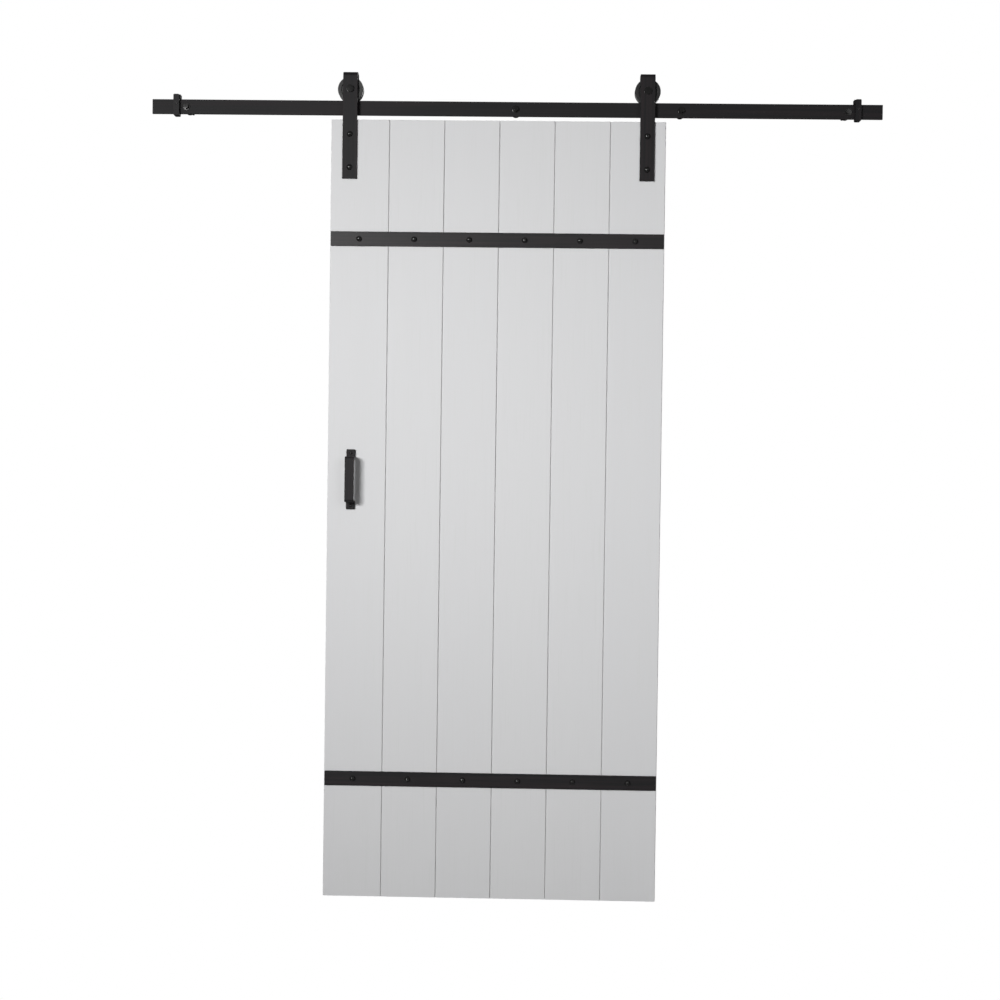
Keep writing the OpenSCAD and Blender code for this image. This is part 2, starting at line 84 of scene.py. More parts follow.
class Value:
    """What comes out of a node. Python's operators on it add Math nodes."""

    def __init__(self, nodes, socket):
        self.nodes = nodes
        self.socket = socket

    def math(self, operation, *numbers):
        return self.nodes.maths(operation, self, *numbers)

    def __add__(self, other):
        return self.math("ADD", other)

    __radd__ = __add__

    def __sub__(self, other):
        return self.math("SUBTRACT", other)

    def __rsub__(self, other):
        return self.nodes.maths("SUBTRACT", other, self)

    def __mul__(self, other):
        return self.math("MULTIPLY", other)

    __rmul__ = __mul__

    def __truediv__(self, other):
        return self.math("DIVIDE", other)

    def __rtruediv__(self, other):
        return self.nodes.maths("DIVIDE", other, self)

    def __abs__(self):
        return self.math("ABSOLUTE")


class Nodes:
    """A node tree that is filled by node()."""

    def __init__(self, tree):
        self.tree = tree
        tree.nodes.clear()

    def node(self, kind, settings=None, inputs=None, output=0):
        """A node of that type, with its settings made first and its sockets fed after them."""
        made = self.tree.nodes.new(kind)
        for name, setting in (settings or {}).items():
            if name == "stops":
                self.set_stops(made.color_ramp, setting)
            else:
                setattr(made, name, setting)
        for name, value in (inputs or {}).items():
            if isinstance(value, Value):
                self.tree.links.new(value.socket, made.inputs[name])
            else:
                made.inputs[name].default_value = value
        return Value(self, made.outputs[output]) if made.outputs else made

    @staticmethod
    def set_stops(ramp, stops):
        """Gives a colour ramp its (place, grey) stops."""
        while len(ramp.elements) < len(stops):
            ramp.elements.new(1)
        for element, (place, grey) in zip(ramp.elements, stops):
            element.position = place
            element.color = (grey, grey, grey, 1)

    def maths(self, operation, *numbers):
        return self.node("ShaderNodeMath", {"operation": operation}, dict(enumerate(numbers)))

    def mix(self, share, first, second, blend="MIX"):
        """The first colour, turning into the second as share goes from 0 to 1."""
        return self.node(
            "ShaderNodeMix",
            {"data_type": "RGBA", "blend_type": blend},
            {0: share, 6: first, 7: second},
            output=2,
        )

    def ramp(self, value, *stops):
        """A value read through (place, grey) stops."""
        return self.node("ShaderNodeValToRGB", {"stops": stops}, {0: value})


def grey(level, warmth=0.0):
    """A linear grey with a little red added and blue taken away, as a colour."""
    return (level * (1 + warmth), level, level * (1 - warmth), 1)


class Finish(Nodes):
    """A material under construction, in Object coordinates."""

    def __init__(self, name):
        self.material = bpy.data.materials.new(name)
        self.material.use_nodes = True
        super().__init__(self.material.node_tree)
        self.place = self.node("ShaderNodeTexCoord", output="Object")

    def axis(self, letter, about=None):
        """The distance along one axis, from about where that is given."""
        place = self.moved(about) if about is not None else self.place
        return self.node("ShaderNodeSeparateXYZ", None, {0: place}, output=letter)

    def moved(self, about):
        """The place, measured from a point of the object."""
        return self.node(
            "ShaderNodeVectorMath", {"operation": "SUBTRACT"}, {0: self.place, 1: about}
        )

    def noise(self, per_metre, detail=2.0, roughness=0.5, seed=0.0):
        """Noise from 0 to 1, with its own number of marks a metre along X, Y and Z."""
        stretched = self.node(
            "ShaderNodeMapping",
            None,
            {"Vector": self.place, "Location": (seed, seed, seed), "Scale": per_metre},
        )
        return self.node(
            "ShaderNodeTexNoise",
            None,
            {"Vector": stretched, "Scale": 1.0, "Detail": detail, "Roughness": roughness},
        )

    def bump(self, height, depth, under=None):
        """A normal for a height that runs from 0 to 1 over depth metres."""
        inputs = {"Height": height, "Strength": 1.0, "Distance": depth}
        if under is not None:
            inputs["Normal"] = under
        return self.node("ShaderNodeBump", None, inputs)

    def done(self, colour, roughness, normal=None, metallic=0.0, specular=0.5):
        """Joins the finish to its surface shader and gives the material."""
        inputs = {
            "Base Color": colour,
            "Roughness": roughness,
            "Metallic": metallic,
            "Specular IOR Level": specular,
        }
        if normal is not None:
            inputs["Normal"] = normal
        surface = self.node("ShaderNodeBsdfPrincipled", None, inputs)
        self.node("ShaderNodeOutputMaterial", None, {"Surface": surface})
        return self.material


# ---------------------------------------------------------------------------
# Finishes

# Widths of the painted shade along each V joint: full within the core, gone at the edge.
LINE_CORE = 0.4 * MM
LINE_EDGE = 2.1 * MM
LATHE_PITCH = 0.7 * MM


def board_paint(first_joint, pitch):
    """Satin white paint over planed boards: faint grain, roller stipple and painted shade along
    the V lines.
    """
    paint = Finish("board_paint")
    across = (paint.axis("X") - first_joint) / pitch
    joint = across.math("ROUND").math("MAXIMUM", 0.0).math("MINIMUM", BOARDS - 2.0)
    to_joint = abs(across - joint) * pitch
    # Painted shade: a mask that is 1 on each V joint and fades to 0 within a couple of millimetres
    # of it.
    groove_shade = paint.node(
        "ShaderNodeMapRange",
        {"interpolation_type": "SMOOTHSTEP"},
        {0: to_joint, 1: LINE_CORE, 2: LINE_EDGE, 3: 1.0, 4: 0.0},
    )
    board_tone = paint.node(
        "ShaderNodeTexWhiteNoise", {"noise_dimensions": "1D"}, {"W": across.math("FLOOR")}
    )
    clouds = paint.noise((2.4, 2.4, 1.1), detail=3, seed=4.0)
    grain = paint.noise((230, 230, 5.5), detail=4, roughness=0.62)
    rings = paint.noise((38, 38, 1.3), detail=3, seed=9.0)
    stipple = paint.noise((820, 820, 820), detail=2, seed=2.0)
    tone = clouds * 0.45 + rings * 0.3 + board_tone * 0.25
    clean = paint.mix(tone, (0.738, 0.740, 0.752, 1), (0.773, 0.774, 0.778, 1))
    grained = paint.mix(paint.ramp(grain, (0.30, 0.0), (0.46, 1.0)), grey(0.742, -0.004), clean)
    # Painted shade: the colour is pulled about a third of the way towards dark grey along the V
    # joints.
    colour = paint.mix(groove_shade * 0.34, grained, grey(0.34, 0.01))
    worn = paint.noise((14, 14, 3), detail=3, seed=7.0)
    normal = paint.bump(grain * 0.6 + rings * 0.4, 0.22 * MM)
    normal = paint.bump(stipple, 0.03 * MM, normal)
    return paint.done(colour, 0.44 + worn * 0.16, normal, specular=0.4)


def black_coat(name, along, brown, gloss, shine):
    """Satin black powder coat over rolled strap, with faint streaks along one axis."""
    coat = Finish(name)
    long_way = {"X": (2.5, 190, 190), "Z": (190, 190, 2.5)}[along]
    streaks = coat.noise(long_way, detail=4, roughness=0.6)
    broad = coat.noise((7, 7, 7), detail=2, seed=3.0)
    peel = coat.noise((620, 620, 620), detail=2, seed=5.0)
    fine = coat.noise((1700, 1700, 1700), detail=1, seed=8.0)
    streaky = coat.ramp(streaks, (0.42, 0.0), (0.60, 1.0))
    colour = coat.mix(
        streaky * (0.35 + broad * 0.65) * brown,
        (0.0120, 0.0120, 0.0130, 1),
        (0.0285, 0.0205, 0.0225, 1),
    )
    normal = coat.bump(streaks, 0.10 * MM)
    normal = coat.bump(peel * 0.7 + fine * 0.3, 0.10 * MM, normal)
    return coat.done(colour, gloss + broad * 0.08 + streaks * 0.08, normal, specular=shine)


def black_fastener():
    """Black finish of screws and bolts, a little glossier than the straps."""
    coat = Finish("black_fastener")
    blotch = coat.noise((150, 150, 150), detail=3)
    peel = coat.noise((1100, 1100, 1100), detail=2, seed=5.0)
    colour = coat.mix(blotch, grey(0.008), grey(0.014, 0.03))
    return coat.done(colour, 0.15 + blotch * 0.12, coat.bump(peel, 0.02 * MM))


def turned_nylon(name, axle):
    """Black nylon with the fine rings that a lathe leaves round the axle."""
    nylon = Finish(name)
    along_x = nylon.axis("X", axle)
    along_z = nylon.axis("Z", axle)
    radius = (along_x * along_x + along_z * along_z).math("SQRT")
    cuts = (radius * (2 * math.pi / LATHE_PITCH)).math("SINE") * 0.5 + 0.5
    cloud = nylon.noise((60, 60, 60), detail=3)
    dust = nylon.noise((260, 260, 260), detail=3, seed=6.0)
    colour = nylon.mix(nylon.ramp(dust, (0.45, 0.0), (0.75, 1.0)), grey(0.0135), grey(0.024, 0.02))
    normal = nylon.bump(cuts * 0.5 + cloud * 0.5, 0.04 * MM)
    return nylon.done(colour, 0.34 + cloud * 0.16, normal)


def zinc_plate():
    """Dull zinc plating with cloudy spangle."""
    zinc = Finish("zinc_plate")
    spangle = zinc.node(
        "ShaderNodeTexVoronoi", None, {"Vector": zinc.place, "Scale": 620.0}, output="Color"
    )
    patch = zinc.node("ShaderNodeSeparateColor", None, {0: spangle}, output=0)
    haze = zinc.noise((90, 90, 90), detail=3)
    colour = zinc.mix(patch * 0.4 + haze * 0.6, grey(0.42, -0.01), grey(0.63, 0.01))
    normal = zinc.bump(haze, 0.04 * MM)
    return zinc.done(colour, 0.28 + patch * 0.10 + haze * 0.12, normal, metallic=1.0)


def ground_steel():
    """Bright ground steel of bearings and bushes."""
    steel = Finish("ground_steel")
    scratch = steel.noise((90, 2400, 90), detail=2)
    colour = steel.mix(scratch, grey(0.50), grey(0.62))
    normal = steel.bump(scratch, 0.02 * MM)
    return steel.done(colour, 0.18 + scratch * 0.14, normal, metallic=1.0)


def black_rubber():
    """Matt moulded rubber."""
    rubber = Finish("black_rubber")
    skin = rubber.noise((900, 900, 900), detail=3)
    bloom = rubber.noise((70, 70, 70), detail=2, seed=3.0)
    colour = rubber.mix(bloom, grey(0.010), grey(0.020, 0.02))
    normal = rubber.bump(skin, 0.08 * MM)
    return rubber.done(colour, 0.72 + bloom * 0.14, normal, specular=0.3)


# ---------------------------------------------------------------------------
# Forms

SAME_PLACE = 0.01 * MM
SHANK_CHAMFER = 0.6 * MM
HEAD_RIM_EASE = 0.35 * MM
BEND_STEPS = 8
THREAD_STEPS = 20
THREAD_SUNK = 0.1 * MM
THREAD_HALF = 0.33
FLAT_UNDER = math.radians(1.5)
SMOOTH_UNDER = math.radians(35)


def block(low, high):
    """A plain block that fills the box from low to high."""
    form = bmesh.new()
    bmesh.ops.create_cube(form, size=1)
    bmesh.ops.scale(form, vec=high - low, verts=form.verts)
    bmesh.ops.translate(form, vec=(low + high) / 2, verts=form.verts)
    return form


def bevel(form, edges, width, segments):
    """Rounds or chamfers the edges."""
    bmesh.ops.bevel(
        form,
        geom=edges,
        offset=width,
        offset_type="OFFSET",
        segments=segments,
        profile=0.5,
        affect="EDGES",
        clamp_overlap=True,
        material=-1,
    )


def ease(form, width, segments=2, sharper_than=30):
    """Rounds every edge at which the surface turns by more than that, in degrees."""
    limit = math.radians(sharper_than)
    sharp = [e for e in form.edges if len(e.link_faces) == 2 and e.calc_face_angle() > limit]
    bevel(form, sharp, width, segments)


def everything(form):
    return form.verts[:] + form.edges[:] + form.faces[:]


def tidy_skin(form):
    """Merges doubles and turns every face outwards."""
    bmesh.ops.remove_doubles(form, verts=form.verts, dist=SAME_PLACE)
    bmesh.ops.recalc_face_normals(form, faces=form.faces)


def turned(section, centre, closed=True, steps=72):
    """A form turned about the Y axis through centre, from its (radius, y) section in metres."""
    form = bmesh.new()
    points = [form.verts.new((radius, y, 0)) for radius, y in section]
    pairs = list(zip(points, points[1:]))
    if closed:
        pairs.append((points[-1], points[0]))
    for pair in pairs:
        form.edges.new(pair)
    bmesh.ops.spin(
        form,
        geom=form.verts[:] + form.edges[:],
        cent=(0, 0, 0),
        axis=Y_AXIS,
        angle=2 * math.pi,
        steps=steps,
        use_merge=True,
        use_duplicate=False,
    )
    tidy_skin(form)
    bmesh.ops.translate(form, vec=centre, verts=form.verts)
    return form


def facing_room(form, seat):
    """Turns a form that was made along +Z to point to the room, and puts its origin on seat."""
    outwards = Matrix.Rotation(math.pi / 2, 3, "X")
    bmesh.ops.rotate(form, cent=(0, 0, 0), matrix=outwards, verts=form.verts)
    bmesh.ops.translate(form, vec=seat, verts=form.verts)
    return form


def drop_walled_in(form, faces):
    """Removes the faces that an extrusion has left inside the form."""
    inner = [f for f in faces if f.is_valid and any(len(e.link_faces) > 2 for e in f.edges)]
    bmesh.ops.delete(form, geom=inner, context="FACES")


def push_faces(form, faces, step):
    """Extrudes faces by a step and gives the faces at their end."""
    grown = bmesh.ops.extrude_face_region(form, geom=faces)["geom"]
    verts = [part for part in grown if isinstance(part, bmesh.types.BMVert)]
    bmesh.ops.translate(form, vec=step, verts=verts)
    drop_walled_in(form, faces)
    return [part for part in grown if isinstance(part, bmesh.types.BMFace)]


def domed_screw(seat, head_d, head_h, shank_d, shank_l):
    """A screw or bolt with a domed head on its seat and its shank running towards the wall."""
    ball = (head_d * head_d / 4 + head_h * head_h) / (2 * head_h)
    form = bmesh.new()
    bmesh.ops.create_uvsphere(form, u_segments=40, v_segments=30, radius=ball)
    bmesh.ops.translate(form, vec=(0, 0, head_h - ball), verts=form.verts)
    bmesh.ops.bisect_plane(
        form, geom=everything(form), plane_co=(0, 0, 0), plane_no=Z_AXIS, clear_inner=True
    )
    rim = [edge for edge in form.edges if edge.is_boundary]
    under = bmesh.ops.contextual_create(form, geom=rim)["faces"]
    tidy_skin(form)
    bmesh.ops.inset_individual(form, faces=under, thickness=(head_d - shank_d) / 2)
    end = push_faces(form, under, -Z_AXIS * shank_l)
    bevel(form, end[0].edges[:], SHANK_CHAMFER, 1)
    rim = [
        e for e in form.edges
        if all(abs(v.co.z) < 1e-6 and v.co.xy.length > head_d * 0.45 for v in e.verts)
    ]
    bevel(form, rim, HEAD_RIM_EASE, 2)
    return facing_room(form, seat)


def bent_strap(width, thickness, start, heading, moves):
    """A flat strap whose middle line starts at start and stays in the plane across the rail.

    A move is ("run", length) or ("bend", radius of the middle line, angle). A positive angle
    turns from up towards the wall.
    """
    form = bmesh.new()
    bmesh.ops.create_grid(form, x_segments=1, y_segments=1, size=0.5)
    bmesh.ops.scale(form, vec=(width, thickness, 1), verts=form.verts)
    if heading.z < 0:
        downwards = Matrix.Rotation(math.pi, 3, "X")
        bmesh.ops.rotate(form, cent=(0, 0, 0), matrix=downwards, verts=form.verts)
    bmesh.ops.translate(form, vec=start, verts=form.verts)
    at, heading, cap = start.copy(), heading.copy(), form.faces[:]
    for kind, *how in moves:
        if kind == "run":
            step = heading * how[0]
            cap = push_faces(form, cap, step)
            at += step
            continue
        radius, angle = how
        centre = at + heading.cross(X_AXIS) * math.copysign(radius, angle)
        turn = Matrix.Rotation(-angle, 3, "X")
        steps = bmesh.ops.spin(
            form,
            geom=cap + [e for f in cap for e in f.edges] + [v for f in cap for v in f.verts],
            cent=centre,
            axis=-X_AXIS,
            angle=angle,
            steps=BEND_STEPS,
            use_merge=False,
            use_duplicate=False,
        )
        drop_walled_in(form, cap)
        cap = [part for part in steps["geom_last"] if isinstance(part, bmesh.types.BMFace)]
        at = centre + turn @ (at - centre)
        heading = turn @ heading
    tidy_skin(form)
    return form


def screw_thread(form, seat, length, core_r, crest_r, pitch):
    """Adds a helical ridge that runs from seat along +Y."""
    foot, half = core_r - THREAD_SUNK, pitch * THREAD_HALF
    corners = [(foot, -half), (crest_r, 0), (foot, half)]
    verts = [form.verts.new((seat.x + r, seat.y + half + y, seat.z)) for r, y in corners]
    face = form.faces.new(verts)
    turns = (length - 2 * half) / pitch
    steps = round(turns * THREAD_STEPS)
    bmesh.ops.spin(
        form,
        geom=[face] + face.edges[:] + verts,
        cent=seat,
        axis=Y_AXIS,
        dvec=Y_AXIS * ((length - 2 * half) / steps),
        angle=2 * math.pi * turns,
        steps=steps,
        use_merge=False,
        use_duplicate=False,
    )


def copied(node, easing, segments=2):
    """A merged copy of a CAD node, with its edges eased."""
    form = bmesh.new()
    form.from_mesh(frame["nodes"][node].data)
    tidy_skin(form)
    bmesh.ops.dissolve_limit(form, angle_limit=FLAT_UNDER, verts=form.verts, edges=form.edges)
    ease(form, easing, segments, sharper_than=40)
    return form


def joined(forms):
    """Several forms as one."""
    whole = bmesh.new()
    for form in forms:
        scrap = bpy.data.meshes.new("scrap")
        form.to_mesh(scrap)
        form.free()
        whole.from_mesh(scrap)
        bpy.data.meshes.remove(scrap)
    return whole


def add_piece(name, form, finish, *nodes):
    """Makes the form a piece that stands for its CAD nodes and rides with them."""
    for face in form.faces:
        face.smooth = True
    for edge in form.edges:
        edge.smooth = len(edge.link_faces) == 2 and edge.calc_face_angle() < SMOOTH_UNDER
    mesh = bpy.data.meshes.new(name)
    form.to_mesh(mesh)
    form.free()
    mesh.materials.append(finish)
    piece = bpy.data.objects.new(name, mesh)
    bpy.context.scene.collection.objects.link(piece)
    shading = piece.modifiers.new("even_shading", "WEIGHTED_NORMAL")
    shading.keep_sharp = True
    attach(piece, BODY_OF[nodes[0]])
    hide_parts(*nodes)
    return piece


def middle(node):
    """The middle of a CAD node's box."""
    low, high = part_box(node)
    return (low + high) / 2


# ---------------------------------------------------------------------------
# Sizes that the CAD boxes don't give by themselves

BOARD_BEVEL = 1.6 * MM
BOARD_EASE = 0.45 * MM
TONGUE_L = 8 * MM
TONGUE_T = 8 * MM
TONGUE_GAP = 0.3 * MM
EDGE = 0.7 * MM
HANGER_T = 5 * MM
HANGER_BEND = 8 * MM
BACK_LEG_DROP = 20 * MM
HANDLE_T = 4 * MM
HANDLE_PLATE = 24 * MM
HANDLE_BEND = 4 * MM
HANDLE_CORNER = 2.2 * MM
HANDLE_EASE = 0.9 * MM
FOOT_BEND = 2 * MM
STRAP_SCREW_D = 6 * MM
HANGER_BOLT_D = 8 * MM
HANDLE_SCREW_D = 4.5 * MM
AXLE_D = 10 * MM
AXLE_HEAD_H = 4 * MM
AXLE_EASE = 0.6 * MM
GROOVE_DEEP = 6 * MM
GROOVE_FLARE = 1.5 * MM
GROOVE_PLAY = 0.6 * MM
BEARING_LIP = 1.6 * MM
HUB_WALL = 3.5 * MM
RIM_WALL = 4 * MM
WEB_DEEP = 2.5 * MM
WHEEL_EASE = 0.8 * MM
WASHER_EASE = 0.3 * MM
NUT_EASE = 0.5 * MM
LAG_COUNT = 5
LAG_HEAD_H = 5.5 * MM
LAG_SHANK_D = 8 * MM
LAG_CORE_R = 2.7 * MM
LAG_CREST_R = 3.7 * MM
LAG_PITCH = 3.2 * MM
LAG_TIP = 8 * MM
LAG_TIP_R = 0.4 * MM
WASHER_PLAY = 0.2 * MM
SPACER_PLAY = 0.5 * MM
RING_EASE = 0.5 * MM
BUMPER_EASE = 0.8 * MM
GRUB_EASE = 0.3 * MM
SCREWS_IN_STRAP = 6

first_board_low, first_board_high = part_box("plank_1")
last_board_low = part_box("plank_6")[0]
door_front = first_board_low.y
first_joint = first_board_high.x - TONGUE_L
joint_pitch = (last_board_low.x - first_joint) / (BOARDS - 2)

paint = board_paint(first_joint, joint_pitch)
strap_coat = black_coat("strap_coat", "X", brown=0.75, gloss=0.34, shine=0.34)
hanger_coat = black_coat("hanger_coat", "Z", brown=0.55, gloss=0.47, shine=0.21)
rail_coat = black_coat("rail_coat", "X", brown=0.5, gloss=0.50, shine=0.20)
fastener = black_fastener()
zinc = zinc_plate()
steel = ground_steel()
rubber = black_rubber()


# ---------------------------------------------------------------------------
# The door's pieces


def board(number):
    """One board: V edges on both faces, a tongue on its right and a groove on its left."""
    low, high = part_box(f"plank_{number}")
    tongued, grooved = number < BOARDS, number > 1
    left, right = low.x, high.x - TONGUE_L if tongued else high.x
    front, back, mid = low.y, high.y, (low.y + high.y) / 2
    tongue, groove = TONGUE_T / 2, TONGUE_T / 2 + TONGUE_GAP
    tongue_end, groove_end = right + TONGUE_L, left + TONGUE_L + 2 * TONGUE_GAP
    section = [
        (left + BOARD_BEVEL, front),
        (right - BOARD_BEVEL, front),
        (right, front + BOARD_BEVEL),
    ]
    if tongued:
        section += [
            (right, mid - tongue),
            (tongue_end, mid - tongue),
            (tongue_end, mid + tongue),
            (right, mid + tongue),
        ]
    section += [
        (right, back - BOARD_BEVEL),
        (right - BOARD_BEVEL, back),
        (left + BOARD_BEVEL, back),
        (left, back - BOARD_BEVEL),
    ]
    if grooved:
        section += [
            (left, mid + groove),
            (groove_end, mid + groove),
            (groove_end, mid - groove),
            (left, mid - groove),
        ]
    section.append((left, front + BOARD_BEVEL))
    form = bmesh.new()
    end = form.faces.new([form.verts.new((x, y, low.z)) for x, y in section])
    push_faces(form, [end], Z_AXIS * (high.z - low.z))
    tidy_skin(form)
    outer = [e for e in form.edges if e.is_convex and e.calc_face_angle() > math.radians(30)]
    bevel(form, outer, BOARD_EASE, 2)
    return form


def hanger(side):
    """Strap that goes up the door's face, over the wheel and down behind it."""
    low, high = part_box(f"{side}_hanger")
    axle = middle(f"{side}_wheel")
    radius = HANGER_BEND + HANGER_T / 2
    bend_z = high.z - HANGER_T - HANGER_BEND
    front_line, back_line = low.y + HANGER_T / 2, high.y - HANGER_T / 2
    start = Vector(((low.x + high.x) / 2, front_line, low.z))
    form = bent_strap(
        high.x - low.x,
        HANGER_T,
        start,
        Z_AXIS,
        [
            ("run", bend_z - low.z),
            ("bend", radius, math.pi / 2),
            ("run", back_line - front_line - 2 * radius),
            ("bend", radius, math.pi / 2),
            ("run", bend_z - (axle.z - BACK_LEG_DROP)),
        ],
    )
    ease(form, EDGE, 3)
    return form


def pull_handle():
    """Handle bent from one strap: plate, leg, grip, leg, plate."""
    low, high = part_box("handle")
    foot_r, bend_r = FOOT_BEND + HANDLE_T / 2, HANDLE_BEND + HANDLE_T / 2
    plate_line, grip_line = high.y - HANDLE_T / 2, low.y + HANDLE_T / 2
    plate_run = HANDLE_PLATE - HANDLE_T - FOOT_BEND
    leg_run = plate_line - grip_line - foot_r - bend_r
    grip_run = high.z - low.z - 2 * (plate_run + foot_r + bend_r)
    quarter = math.pi / 2
    form = bent_strap(
        high.x - low.x,
        HANDLE_T,
        Vector(((low.x + high.x) / 2, plate_line, high.z)),
        -Z_AXIS,
        [
            ("run", plate_run),
            ("bend", foot_r, quarter),
            ("run", leg_run),
            ("bend", bend_r, -quarter),
            ("run", grip_run),
            ("bend", bend_r, -quarter),
            ("run", leg_run),
            ("bend", foot_r, quarter),
            ("run", plate_run),
        ],
    )
    ends = [
        e for e in form.edges
        if abs((e.verts[0].co - e.verts[1].co).y) > HANDLE_T / 2
        and all(min(v.co.z - low.z, high.z - v.co.z) < SAME_PLACE for v in e.verts)
    ]
    bevel(form, ends, HANDLE_CORNER, 4)
    ease(form, HANDLE_EASE, 3)
    return form


def screws_in_a_row(node, count, seat_y, shank_d):
    """Domed screws that share a CAD node, evenly spaced along the longer side of its box."""
    low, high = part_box(node)
    size = high - low
    head_d = min(size.x, size.z)
    head_h, shank_l = seat_y - low.y, high.y - seat_y
    first = Vector((low.x + head_d / 2, seat_y, low.z + head_d / 2))
    last = Vector((high.x - head_d / 2, seat_y, high.z - head_d / 2))
    seats = [first.lerp(last, i / (count - 1)) for i in range(count)]
    return joined([domed_screw(seat, head_d, head_h, shank_d, shank_l) for seat in seats])


def axle_bolt(side):
    """Axle bolt with a flat round head, and its shank through both legs."""
    low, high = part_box(f"{side}_axle_bolt")
    centre = (low + high) / 2
    head_r, shank_r = (high.x - low.x) / 2, AXLE_D / 2
    seat = low.y + AXLE_HEAD_H
    section = [
        (0, low.y),
        (head_r, low.y),
        (head_r, seat),
        (shank_r, seat),
        (shank_r, high.y),
        (0, high.y),
    ]
    form = turned(section, Vector((centre.x, 0, centre.z)), closed=False)
    ease(form, AXLE_EASE, 2)
    return form


def grooved_wheel(side):
    """Wheel with a groove for the rail, a bearing seat that is open at the front, and webs."""
    low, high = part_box(f"{side}_wheel")
    rim, half = (high.x - low.x) / 2, (high.y - low.y) / 2
    bearing_low, bearing_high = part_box(f"{side}_bearing_outer_ring")
    seat_r = (bearing_high.x - bearing_low.x) / 2
    seat_y = (bearing_high.y - bearing_low.y) / 2
    rail_low, rail_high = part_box("rail")
    root_half = (rail_high.y - rail_low.y) / 2 + GROOVE_PLAY
    root = rim - GROOVE_DEEP
    web_in, web_out = seat_r + HUB_WALL, root - RIM_WALL
    front = [
        (seat_r, -half),
        (web_in, -half),
        (web_in, WEB_DEEP - half),
        (web_out, WEB_DEEP - half),
        (web_out, -half),
        (rim, -half),
        (rim, -root_half - GROOVE_FLARE),
        (root, -root_half),
    ]
    back = [(radius, -y) for radius, y in reversed(front)]
    back[-1] = (seat_r - BEARING_LIP, half)
    seat = [(seat_r - BEARING_LIP, seat_y), (seat_r, seat_y)]
    form = turned(front + back + seat, middle(f"{side}_wheel"), steps=96)
    ease(form, WHEEL_EASE, 3)
    return form


for number in range(1, BOARDS + 1):
    add_piece(f"board_{number}", board(number), paint, f"plank_{number}")

for height in ("upper", "lower"):
    low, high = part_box(f"{height}_strap")
    bar = block(low, high)
    ease(bar, EDGE, 3)
    add_piece(f"{height}_strap_bar", bar, strap_coat, f"{height}_strap")
    domes = screws_in_a_row(f"{height}_strap_screws", SCREWS_IN_STRAP, low.y, STRAP_SCREW_D)
    add_piece(f"{height}_strap_domes", domes, fastener, f"{height}_strap_screws")

for side in SIDES:
    add_piece(f"{side}_hanger_strap", hanger(side), hanger_coat, f"{side}_hanger")
    hanger_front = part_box(f"{side}_hanger")[0].y
    domes = screws_in_a_row(f"{side}_hanger_bolts", 2, hanger_front, HANGER_BOLT_D)
    add_piece(f"{side}_hanger_domes", domes, fastener, f"{side}_hanger_bolts")
    add_piece(f"{side}_axle", axle_bolt(side), fastener, f"{side}_axle_bolt")
    wheel_nylon = turned_nylon(f"{side}_nylon", middle(f"{side}_wheel"))
    add_piece(f"{side}_grooved_wheel", grooved_wheel(side), wheel_nylon, f"{side}_wheel")
    for node, easing in (
        ("hanger_washers", WASHER_EASE),
        ("hanger_nuts", NUT_EASE),
        ("axle_nut", NUT_EASE),
    ):
        name = f"{side}_{node}"
        add_piece(f"{name}_plated", copied(name, easing), zinc, name)
    for node in ("axle_bushes", "bearing_inner_ring", "bearing_outer_ring", "bearing_balls"):
        shown = frame["nodes"][f"{side}_{node}"]
        shown.data.materials.clear()
        shown.data.materials.append(steel)

add_piece("pull_handle", pull_handle(), hanger_coat, "handle")
handle_domes = screws_in_a_row("handle_screws", 2, door_front - HANDLE_T, HANDLE_SCREW_D)
add_piece("handle_domes", handle_domes, fastener, "handle_screws")


# ---------------------------------------------------------------------------
# The rail's pieces


def lag_places():
    """The X of every lag screw."""
    low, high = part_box("rail_washers")
    radius = (high.z - low.z) / 2
    first, last = low.x + radius, high.x - radius
    return [first + (last - first) * i / (LAG_COUNT - 1) for i in range(LAG_COUNT)]


def lag_screw(x):
    """Hexagon-headed lag screw with a smooth shank, a coarse thread and a point."""
    low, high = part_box("rail_lags")
    head_r = (high.z - low.z) / math.sqrt(3)
    head = bmesh.new()
    bmesh.ops.create_cone(
        head, cap_ends=True, segments=6, radius1=head_r, radius2=head_r, depth=LAG_HEAD_H
    )
    facing_room(head, Vector((x, low.y + LAG_HEAD_H / 2, 0)))
    ease(head, EDGE, 2)
    in_head, neck_end, thread_start = low.y + LAG_HEAD_H - 1 * MM, 1.5 * MM, 1 * MM
    section = [
        (0, in_head),
        (LAG_SHANK_D / 2, in_head),
        (LAG_SHANK_D / 2, 0),
        (LAG_CORE_R, neck_end),
        (LAG_CORE_R, high.y - LAG_TIP),
        (LAG_TIP_R, high.y),
        (0, high.y),
    ]
    shank = turned(section, Vector((x, 0, 0)), closed=False, steps=32)
    thread_l = high.y - LAG_TIP - 2 * thread_start
    screw_thread(shank, Vector((x, thread_start, 0)), thread_l, LAG_CORE_R, LAG_CREST_R, LAG_PITCH)
    tidy_skin(shank)
    return joined([head, shank])


def ring(x, low, high, play):
    """A washer or spacer round the lag screw at x, as deep and tall as the box of them all."""
    outer, inner = (high.z - low.z) / 2, LAG_SHANK_D / 2 + play
    section = [(inner, low.y), (outer, low.y), (outer, high.y), (inner, high.y)]
    form = turned(section, Vector((x, 0, 0)), steps=64)
    ease(form, RING_EASE, 2)
    return form


rail_bar = block(*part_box("rail"))
ease(rail_bar, EDGE, 3)
add_piece("rail_bar", rail_bar, rail_coat, "rail")
tubes = joined([ring(x, *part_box("rail_spacers"), SPACER_PLAY) for x in lag_places()])
add_piece("rail_tubes", tubes, rail_coat, "rail_spacers")
lags = joined([lag_screw(x) for x in lag_places()])
add_piece("rail_lag_screws", lags, fastener, "rail_lags")
washers = joined([ring(x, *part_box("rail_washers"), WASHER_PLAY) for x in lag_places()])
add_piece("rail_lag_washers", washers, fastener, "rail_washers")

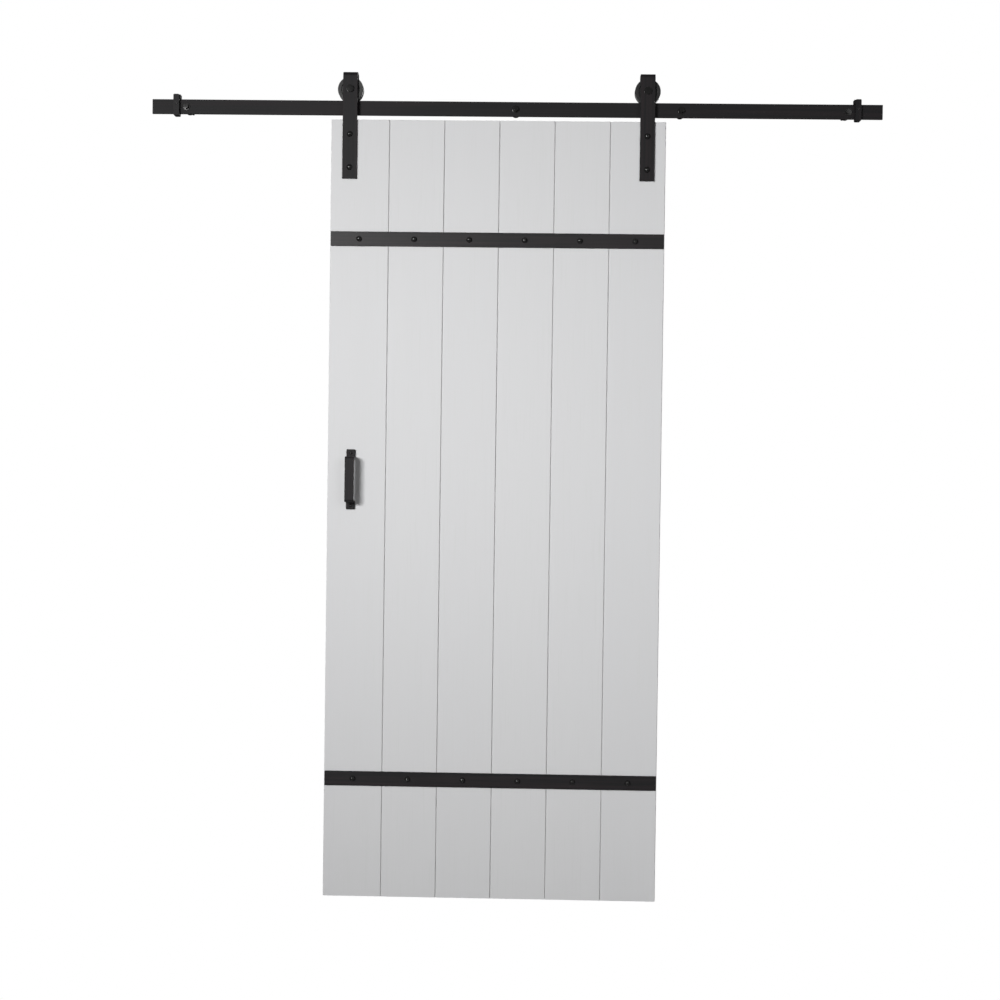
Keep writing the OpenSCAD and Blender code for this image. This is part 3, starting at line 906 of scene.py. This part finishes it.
for side in SIDES:
    for node, name, easing, segments, finish in (
        ("stop", "stop_block", EDGE, 3, hanger_coat),
        ("stop_bumper", "stop_rubber", BUMPER_EASE, 2, rubber),
        ("stop_screw", "stop_grub", GRUB_EASE, 2, fastener),
    ):
        form = copied(f"{side}_{node}", easing, segments)
        add_piece(f"{side}_{name}", form, finish, f"{side}_{node}")


# ---------------------------------------------------------------------------
# Floor, light and camera

FLOOR_GAP = 12 * MM
FLOOR_HALF = 20
AMBIENT = 0.11
CAMERA_AT = (0.0535, -4.0307, -1.0138)
CAMERA_YAW = math.radians(1.183)
CAMERA_PITCH = math.radians(-0.814)
CAMERA_ROLL = math.radians(-0.768)
LENS = 52.2


def pale_floor():
    """A wide pale floor just under the door, which the camera sees as white as the backdrop."""
    form = bmesh.new()
    bmesh.ops.create_grid(form, x_segments=1, y_segments=1, size=FLOOR_HALF)
    bmesh.ops.translate(form, vec=(0, 0, cad_low.z - FLOOR_GAP), verts=form.verts)
    mesh = bpy.data.meshes.new("floor")
    form.to_mesh(mesh)
    form.free()
    floor = bpy.data.objects.new("floor", mesh)
    bpy.context.scene.collection.objects.link(floor)
    material = bpy.data.materials.new("pale_floor")
    material.use_nodes = True
    pale = Nodes(material.node_tree)
    seen = pale.node("ShaderNodeLightPath", output="Is Camera Ray")
    matt = pale.node("ShaderNodeBsdfDiffuse", None, {"Color": grey(0.30)})
    glow = pale.node("ShaderNodeEmission", None, {"Color": grey(1.0), "Strength": 1.0})
    both = pale.node("ShaderNodeMixShader", None, {0: seen, 1: matt, 2: glow})
    pale.node("ShaderNodeOutputMaterial", None, {"Surface": both})
    mesh.materials.append(material)
    floor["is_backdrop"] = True


def white_room(ambient):
    """A white backdrop for the camera, and a dim even light for the object."""
    world = bpy.data.worlds.new("white_room")
    bpy.context.scene.world = world
    world.use_nodes = True
    room = Nodes(world.node_tree)
    seen = room.node("ShaderNodeLightPath", output="Is Camera Ray")
    strength = ambient + seen * (1.0 - ambient)
    back = room.node("ShaderNodeBackground", None, {"Color": grey(1.0), "Strength": strength})
    room.node("ShaderNodeOutputWorld", None, {"Surface": back})


def softbox(name, place, target, width, height, power, spread=180):
    """A rectangular light that faces its target and spreads its light over that many degrees."""
    data = bpy.data.lights.new(name, "AREA")
    data.shape = "RECTANGLE"
    data.spread = math.radians(spread)
    data.size, data.size_y, data.energy = width, height, power
    lamp = bpy.data.objects.new(name, data)
    lamp.location = place
    lamp.rotation_euler = (Vector(target) - Vector(place)).to_track_quat("-Z", "Y").to_euler()
    bpy.context.scene.collection.objects.link(lamp)


def room_camera():
    """The camera: a little right of the door's middle, level with its handle, in the room."""
    data = bpy.data.cameras.new("camera")
    data.sensor_width = 36
    data.lens = LENS
    data.clip_end = 200
    camera = bpy.data.objects.new("camera", data)
    turn = (
        Matrix.Rotation(CAMERA_YAW, 4, "Z")
        @ Matrix.Rotation(CAMERA_PITCH, 4, "X")
        @ Matrix.Rotation(CAMERA_ROLL, 4, "Y")
        @ Matrix.Rotation(math.pi / 2, 4, "X")
    )
    camera.matrix_world = Matrix.Translation(CAMERA_AT) @ turn
    bpy.context.scene.collection.objects.link(camera)
    bpy.context.scene.camera = camera


pale_floor()
white_room(AMBIENT)
softbox(
    "key",
    place=(-2.54, -4.64, 0.02),
    target=(0.62, -0.06, -0.98),
    width=1.9,
    height=1.1,
    power=49.6,
    spread=82,
)
softbox(
    "fill",
    place=(2.8, -4.2, 0.4),
    target=(-0.05, -0.06, -0.9),
    width=2.0,
    height=2.5,
    power=24,
)
softbox(
    "behind",
    place=(1.8, 3.6, 1.2),
    target=(0, 0, -1.0),
    width=2.5,
    height=2.5,
    power=130,
)
room_camera()
bpy.context.scene.view_settings.view_transform = "Standard"

low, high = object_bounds()
